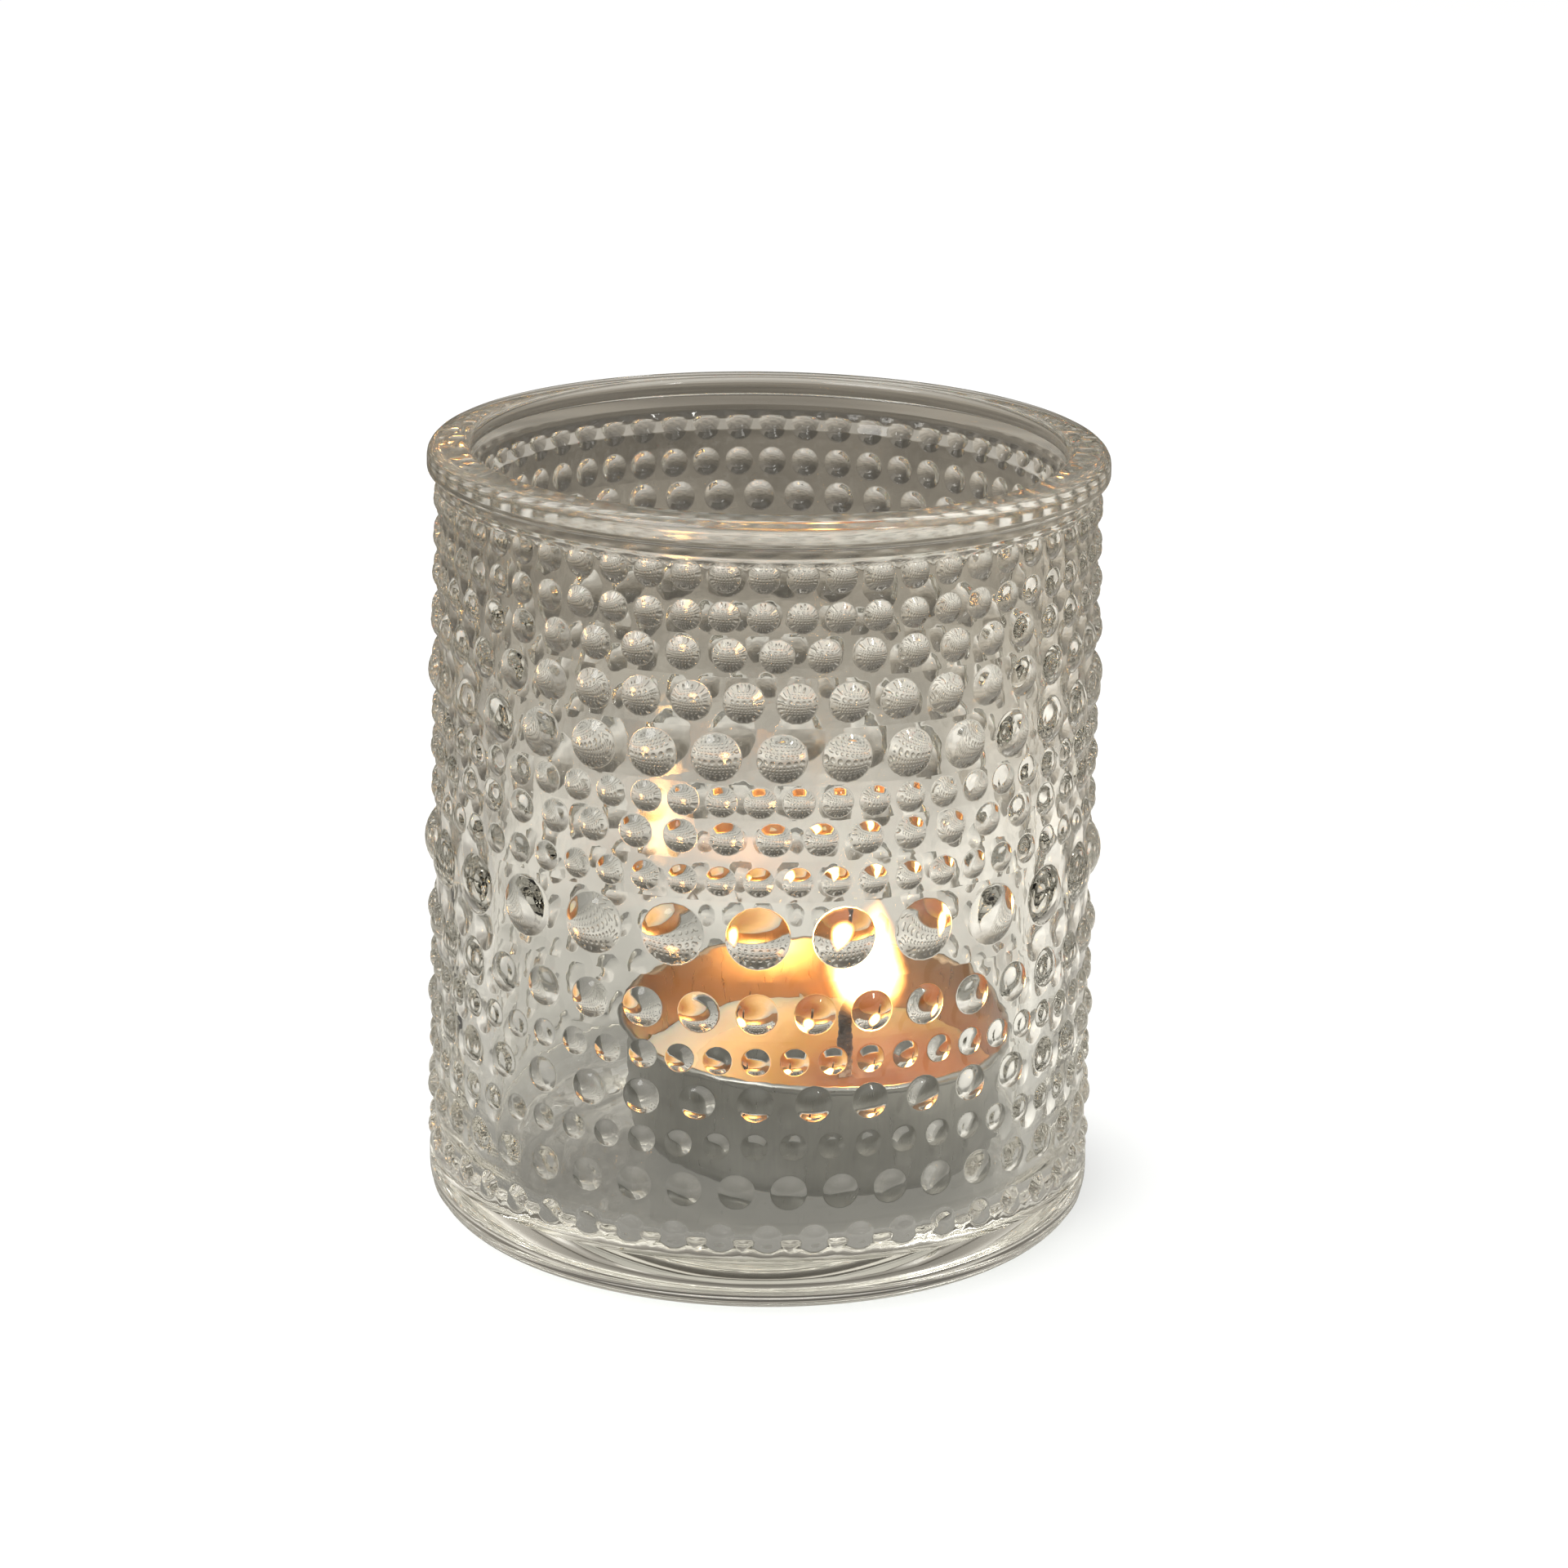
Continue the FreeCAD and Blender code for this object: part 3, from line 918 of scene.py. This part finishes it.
def wick_material():
    """Cotton, pale and soaked near the wax, charred above, with an ember at the tip."""
    material = bpy.data.materials.new("charred_cotton")
    nodes = Nodes(material)
    place = nodes.place()
    above = nodes.math("SUBTRACT", nodes.axes(place)["Z"], WAX_HIGH.z)
    share = nodes.math("DIVIDE", above, WICK_HIGH.z - WAX_HIGH.z)
    patches = nodes.noise(CHAR_SCALE, COTTON_DETAIL, place)
    colour = nodes.ramp(nodes.math("MULTIPLY_ADD", patches, CHAR_SPREAD, share), [
        (0.15, (0.62, 0.50, 0.36)),
        (0.40, (0.10, 0.065, 0.045)),
        (0.70, (0.018, 0.014, 0.012)),
        (1.0, (0.03, 0.02, 0.015)),
    ])
    glow = nodes.ramp(share, [(0.88, grey(0.0)), (1.0, EMBER_COLOUR)])
    cotton = nodes.new("ShaderNodeBsdfPrincipled")
    nodes.link(colour, cotton.inputs["Base Color"])
    nodes.link(glow, cotton.inputs["Emission Color"])
    cotton.inputs["Emission Strength"].default_value = EMBER_GLOW
    cotton.inputs["Roughness"].default_value = COTTON_ROUGHNESS
    cotton.inputs["Sheen Weight"].default_value = COTTON_SHEEN
    fibres = nodes.noise(FIBRE_SCALE, COTTON_DETAIL, place)
    nodes.link(nodes.bump(fibres, FIBRE_HEIGHT), cotton.inputs["Normal"])
    nodes.surface(cotton)
    return material


STEEL_GRAIN_SCALE = 4000.0
STEEL_GRAIN_DETAIL = 3.0


def steel_material():
    """Tinned sheet steel of the sustainer."""
    material = bpy.data.materials.new("tinned_steel")
    nodes = Nodes(material)
    grain = nodes.noise(STEEL_GRAIN_SCALE, STEEL_GRAIN_DETAIL, nodes.place())
    shade = nodes.ramp(grain, [(0.3, (0.50, 0.50, 0.50)), (0.7, (0.68, 0.68, 0.67))])
    rough = nodes.ramp(grain, [(0.2, grey(0.28)), (0.8, grey(0.46))])
    steel = nodes.new("ShaderNodeBsdfPrincipled")
    steel.inputs["Metallic"].default_value = 1.0
    nodes.link(shade, steel.inputs["Base Color"])
    nodes.link(rough, steel.inputs["Roughness"])
    nodes.surface(steel)
    return material


FLAME_GLOW = 40.0
FLAME_CORE = 5.0                 # power that gathers the light in the flame's middle
FLAME_GLINTS = 1.5               # how much brighter the flame is where the glass mirrors it


def flame_material(flame):
    """Light that is dense and white-yellow inside, and fades outwards into an orange glow."""
    material = bpy.data.materials.new("flame")
    nodes = Nodes(material)
    low = min(corner[2] for corner in flame.bound_box)
    high = max(corner[2] for corner in flame.bound_box)
    above = nodes.math("SUBTRACT", nodes.axes(nodes.place())["Z"], low)
    length_fade = nodes.ramp(nodes.math("DIVIDE", above, high - low), [
        (0.0, grey(0.0)),
        (0.12, grey(0.25)),
        (0.28, grey(1.0)),
        (0.55, grey(1.0)),
        (0.80, grey(0.45)),
        (1.0, grey(0.0)),
    ])
    facing = nodes.new("ShaderNodeLayerWeight")
    facing.inputs["Blend"].default_value = 0.5
    depth = nodes.math("SUBTRACT", 1.0, facing.outputs["Facing"])
    colour = nodes.ramp(depth, [
        (0.0, (1.0, 0.26, 0.03)),
        (0.5, (1.0, 0.36, 0.07)),
        (0.9, (1.0, 0.55, 0.18)),
    ])
    density = nodes.ramp(depth, [
        (0.0, grey(0.0)),
        (0.30, grey(0.03)),
        (0.50, grey(0.12)),
        (0.70, grey(0.30)),
        (0.85, grey(0.75)),
        (0.95, grey(1.0)),
    ])
    brightness = nodes.math("MULTIPLY", nodes.math("POWER", depth, FLAME_CORE), FLAME_GLOW)
    path = nodes.new("ShaderNodeLightPath")
    mirrored = nodes.math("MINIMUM", path.outputs["Glossy Depth"], 1.0)
    boost = nodes.math("MULTIPLY_ADD", mirrored, FLAME_GLINTS - 1, 1.0)
    glow = nodes.new("ShaderNodeEmission")
    nodes.link(colour, glow.inputs["Color"])
    nodes.link(nodes.math("MULTIPLY", brightness, boost), glow.inputs["Strength"])
    clear = nodes.new("ShaderNodeBsdfTransparent")
    dense = nodes.math("MULTIPLY", density, length_fade)
    nodes.surface(nodes.mix_shaders(dense, clear, glow))
    material.cycles.emission_sampling = "NONE"
    return material


FLOOR_COLOUR = (0.94, 0.94, 0.935, 1)
FLOOR_FADE = 0.6                 # distance at which the floor's painted light and shade, as glass and metal see it, ends
FLOOR_TO_SIDES = 1.8             # how much brighter the floor's painted light gets per metre to either side
FLOOR_TO_RIGHT = 2.6             # and to the right
STUDIO_TO_SIDES = 1.0            # the same for the studio, from its middle to its side
STUDIO_TO_RIGHT = 0.4
DIMMEST_SIDE = 0.85
BRIGHTEST_SIDE = 2.0
LIGHT_MOTTLE = 0.2                     # painted patches of light and shade on the floor, as the glass shows it
MOTTLE_SCALE = 26.0
MOTTLE_DETAIL = 1.0
# painted light and shade of the floor as glass and metal see it, by distance from the middle: painted shade
# under the holder, a bright ring beyond, dark far away
PAINTED_FLOOR_LIGHT = [
    (0.0, (0.22, 0.216, 0.20)),
    (0.03, (0.235, 0.23, 0.212)),
    (0.05, (0.30, 0.293, 0.27)),
    (0.07, (0.44, 0.43, 0.395)),
    (0.09, (0.64, 0.625, 0.575)),
    (0.12, (0.86, 0.835, 0.77)),
    (0.15, (0.86, 0.83, 0.765)),
    (0.18, (0.66, 0.63, 0.575)),
    (0.22, (0.49, 0.46, 0.41)),
    (0.28, (0.39, 0.36, 0.31)),
    (0.34, (0.31, 0.28, 0.235)),
    (0.42, (0.23, 0.207, 0.17)),
    (0.5, (0.17, 0.152, 0.125)),
    (1.0, (0.11, 0.10, 0.085)),
]


def sideways_light(nodes, across, to_sides, to_right):
    """A factor that grows to both sides, and more to the right than to the left."""
    lit = nodes.math("MULTIPLY_ADD", across, to_right, 1.0)
    lit = nodes.math("MULTIPLY_ADD", nodes.math("ABSOLUTE", across), to_sides, lit)
    return nodes.math("MINIMUM", nodes.math("MAXIMUM", lit, DIMMEST_SIDE), BRIGHTEST_SIDE)


def floor_material():
    """Pale floor. Glass and metal see it glowing instead: painted shade under the holder, painted light
    round it, dark far away.
    """
    material = bpy.data.materials.new("pale_floor")
    nodes = Nodes(material)
    place = nodes.place()
    share = nodes.math("DIVIDE", nodes.vector("LENGTH", place)["Value"], FLOOR_FADE)
    path = nodes.new("ShaderNodeLightPath")
    direct = nodes.math("MAXIMUM", path.outputs["Is Camera Ray"], path.outputs["Is Diffuse Ray"])
    matt = nodes.new("ShaderNodeBsdfDiffuse")
    matt.inputs["Color"].default_value = FLOOR_COLOUR
    lit = sideways_light(nodes, nodes.axes(place)["X"], FLOOR_TO_SIDES, FLOOR_TO_RIGHT)
    # painted light and shade: noise patches brighten and darken the floor's glow
    light_mottle = nodes.ramp(nodes.noise(MOTTLE_SCALE, MOTTLE_DETAIL, place), [
        (0.35, grey(1.0 - LIGHT_MOTTLE)),
        (0.65, grey(1.0 + LIGHT_MOTTLE)),
    ])
    glow = nodes.new("ShaderNodeEmission")
    nodes.link(nodes.ramp(share, PAINTED_FLOOR_LIGHT), glow.inputs["Color"])
    nodes.link(nodes.math("MULTIPLY", lit, light_mottle), glow.inputs["Strength"])
    nodes.surface(nodes.mix_shaders(direct, glow, matt))
    material.cycles.emission_sampling = "NONE"
    return material


def set_material(piece, material):
    piece.data.materials.clear()
    piece.data.materials.append(material)


# ---------------------------------------------------------------- stage

FLOOR_HALF = 3.0
FLOOR_DROP = 0.02 * MM           # keeps the floor and the contact ring from coinciding
SKY_SEEN = (0.98, 0.98, 0.98, 1)
SKY_DIFFUSE = (1.0, 1.0, 1.0, 1)
FLAME_POWER = 0.006
FLAME_COLOUR = (1.0, 0.42, 0.12)
FLAME_SOFTNESS = 0.8             # the lamp's radius over the flame's
KEY_PLACE = (-0.45, -0.35, 0.75)
KEY_TARGET = (0, 0, 0.03)
KEY_SIZE = 0.5
KEY_POWER = 3.0
GLINT_PLACE = (0.55, -0.55, 0.75)
GLINT_TARGET = (0, 0, 0.04)
GLINT_SIZE = 0.12
GLINT_POWER = 0.8
CAMERA_BACK = 452.2 * MM
CAMERA_RIGHT = 0.9 * MM
CAMERA_UP = 179.7 * MM
CAMERA_PITCH = math.radians(16.96)
CAMERA_YAW = math.radians(0.13)
CAMERA_ROLL = math.radians(-1.03)
CAMERA_LENS = 113.85             # in Blender's millimetres, as is the sensor
SENSOR = 36.0
CAMERA_NEAR = 0.01
CAMERA_FAR = 20.0


def make_floor():
    mesh = bpy.data.meshes.new("floor")
    sides = [(-1, -1), (1, -1), (1, 1), (-1, 1)]
    corners = [(x * FLOOR_HALF, y * FLOOR_HALF, -FLOOR_DROP) for x, y in sides]
    mesh.from_pydata(corners, [], [(0, 1, 2, 3)])
    floor = bpy.data.objects.new("floor", mesh)
    bpy.context.scene.collection.objects.link(floor)
    set_material(floor, floor_material())


def make_world():
    """Soft even light. Glass and metal see a grey studio, bright overhead and to the sides."""
    world = bpy.data.worlds.new("studio")
    bpy.context.scene.world = world
    nodes = Nodes(world)
    direction = nodes.axes(nodes.new("ShaderNodeTexCoord").outputs["Generated"])
    height = nodes.math("MULTIPLY_ADD", direction["Z"], 0.5, 0.5)    # 0 is straight down, 1 up
    seen = nodes.ramp(height, [
        (0.0, (0.30, 0.29, 0.27)),
        (0.50, (0.08, 0.073, 0.062)),
        (0.60, (0.11, 0.10, 0.085)),
        (0.72, (0.38, 0.36, 0.33)),
        (0.85, (0.85, 0.83, 0.79)),
        (1.0, (0.95, 0.94, 0.91)),
    ])
    lit = sideways_light(nodes, direction["X"], STUDIO_TO_SIDES, STUDIO_TO_RIGHT)
    wider = nodes.new("ShaderNodeVectorMath", operation="SCALE")
    nodes.link(seen, wider.inputs[0])
    nodes.link(lit, wider.inputs["Scale"])
    path = nodes.new("ShaderNodeLightPath")
    even = nodes.mix_colours(path.outputs["Is Diffuse Ray"], wider.outputs[0], SKY_DIFFUSE)
    background = nodes.new("ShaderNodeBackground")
    nodes.link(
        nodes.mix_colours(path.outputs["Is Camera Ray"], even, SKY_SEEN), background.inputs["Color"]
    )
    output = nodes.new("ShaderNodeOutputWorld")
    nodes.link(background.outputs[0], output.inputs["Surface"])
    world.cycles.sampling_method = "NONE"


def area_light(name, place, target, size, power):
    light = bpy.data.lights.new(name, "AREA")
    light.shape = "DISK"
    light.size = size
    light.energy = power
    lamp = bpy.data.objects.new(name, light)
    bpy.context.scene.collection.objects.link(lamp)
    lamp.location = place
    lamp.rotation_mode = "QUATERNION"
    lamp.rotation_quaternion = (Vector(target) - Vector(place)).to_track_quat("-Z", "Y")


def flame_light(flame):
    """The flame's light on the wax and the cup. It rides with the tealight."""
    light = bpy.data.lights.new("flame_light", "POINT")
    light.energy = FLAME_POWER
    light.color = FLAME_COLOUR
    light.shadow_soft_size = FLAME_RADIUS * FLAME_SOFTNESS
    lamp = bpy.data.objects.new("flame_light", light)
    bpy.context.scene.collection.objects.link(lamp)
    corners = [Vector(corner) for corner in flame.bound_box]
    lamp.location = sum(corners, Vector()) / len(corners)
    lamp.visible_camera = False
    lamp.visible_transmission = False
    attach(lamp, "tealight")


def make_camera():
    data = bpy.data.cameras.new("camera")
    data.sensor_width = SENSOR
    data.lens = CAMERA_LENS
    data.clip_start = CAMERA_NEAR
    data.clip_end = CAMERA_FAR
    camera = bpy.data.objects.new("camera", data)
    bpy.context.scene.collection.objects.link(camera)
    level = math.cos(CAMERA_PITCH)
    forward = Vector((
        math.sin(CAMERA_YAW) * level, math.cos(CAMERA_YAW) * level, -math.sin(CAMERA_PITCH)
    ))
    right = Vector((math.cos(CAMERA_YAW), -math.sin(CAMERA_YAW), 0))
    up = right.cross(forward)
    turned_right = right * math.cos(CAMERA_ROLL) - up * math.sin(CAMERA_ROLL)
    turned_up = right * math.sin(CAMERA_ROLL) + up * math.cos(CAMERA_ROLL)
    turn = Matrix((turned_right, turned_up, -forward)).transposed().to_4x4()
    camera.matrix_world = Matrix.Translation((CAMERA_RIGHT, -CAMERA_BACK, CAMERA_UP)) @ turn
    bpy.context.scene.camera = camera


def light_paths():
    """Enough bounces for a thick double wall of glass, and plain colours."""
    scene = bpy.context.scene
    scene.cycles.max_bounces = 24
    scene.cycles.transmission_bounces = 24
    scene.cycles.glossy_bounces = 12
    scene.cycles.diffuse_bounces = 3
    scene.cycles.transparent_max_bounces = 24
    scene.cycles.caustics_reflective = False
    scene.cycles.caustics_refractive = False
    scene.cycles.sample_clamp_indirect = 50.0
    scene.cycles.use_denoising = True
    scene.view_settings.view_transform = "Standard"


# ---------------------------------------------------------------- build

glass = make_glass()
cup = tealight_cup()
wax = wax_body()
wick = braided_wick()
flame = flame_shape()

for piece, body, node, slot, material in (
    (glass, "holder", "glass_holder", "pressed_glass", glass_material()),
    (cup, "tealight", "tealight_cup", "cup_aluminium", aluminium_material()),
    (wax, "tealight", "wax", "candle_wax", wax_material()),
    (wick, "tealight", "wick", "wick_cotton", wick_material()),
):
    set_material(piece, material)
    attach(piece, body)
    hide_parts(node)
set_material(flame, flame_material(flame))
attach(flame, "tealight")
set_material(frame["nodes"]["wick_sustainer"], steel_material())

make_floor()
make_world()
area_light("key", KEY_PLACE, KEY_TARGET, KEY_SIZE, KEY_POWER)
area_light("glint", GLINT_PLACE, GLINT_TARGET, GLINT_SIZE, GLINT_POWER)
flame_light(flame)
make_camera()
light_paths()
